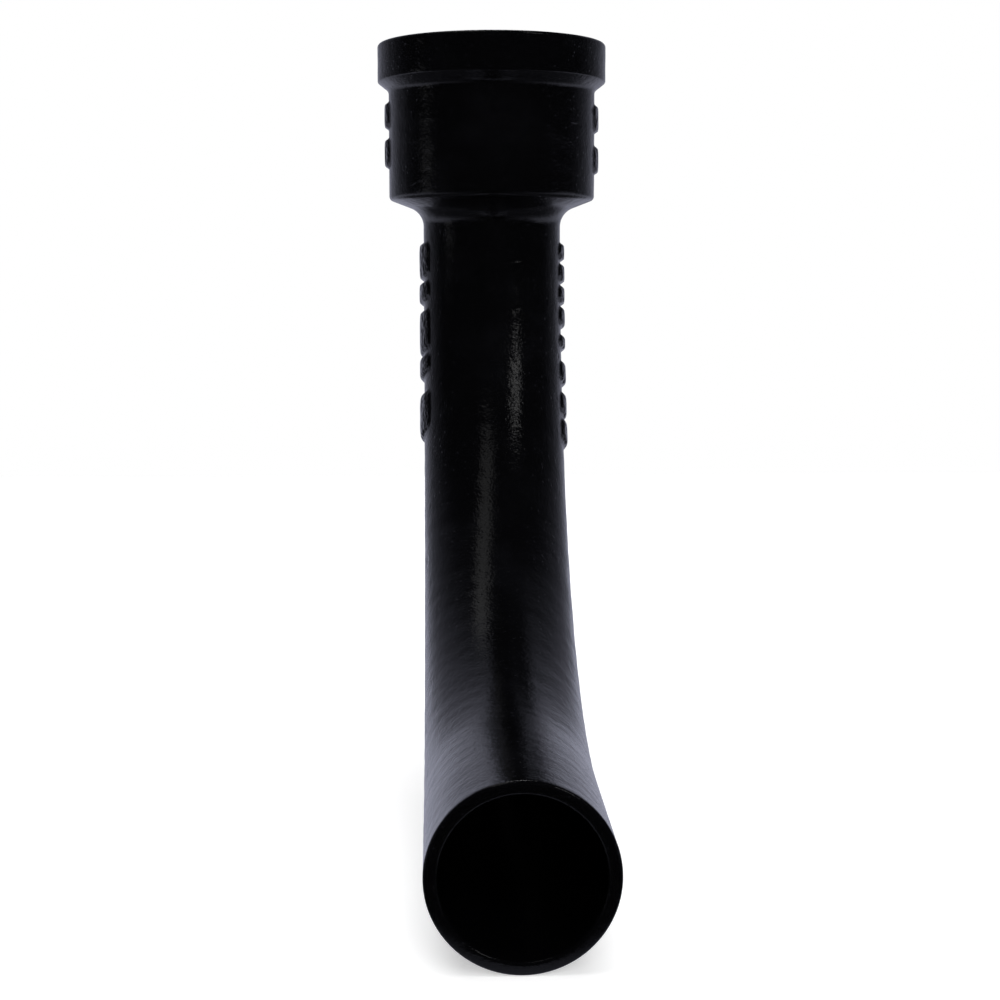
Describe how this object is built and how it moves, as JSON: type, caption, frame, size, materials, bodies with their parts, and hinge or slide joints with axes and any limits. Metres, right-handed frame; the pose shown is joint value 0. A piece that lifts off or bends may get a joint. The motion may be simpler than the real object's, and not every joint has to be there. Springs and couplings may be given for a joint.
{
  "type": "long sweep bend",
  "caption": "Cast-iron soil pipe quarter bend with a long sweep, a beaded hub at the top and a plain spigot that leads off level.",
  "frame": {"origin": "centre of the hub mouth, on the hub axis, level with the hub face", "axes": "+Z along the hub axis out of its mouth, -Y along the spigot axis out of the spigot end, X across the bend"},
  "size_m": [0.0964, 0.3277, 0.3022],
  "materials": {
    "coated_iron": "black asphaltic coating on sand-cast iron, satin, with rubbed streaks and small pits"
  },
  "bodies": {
    "root": {"bend_casting": "coated_iron"}
  },
  "joints": []
}
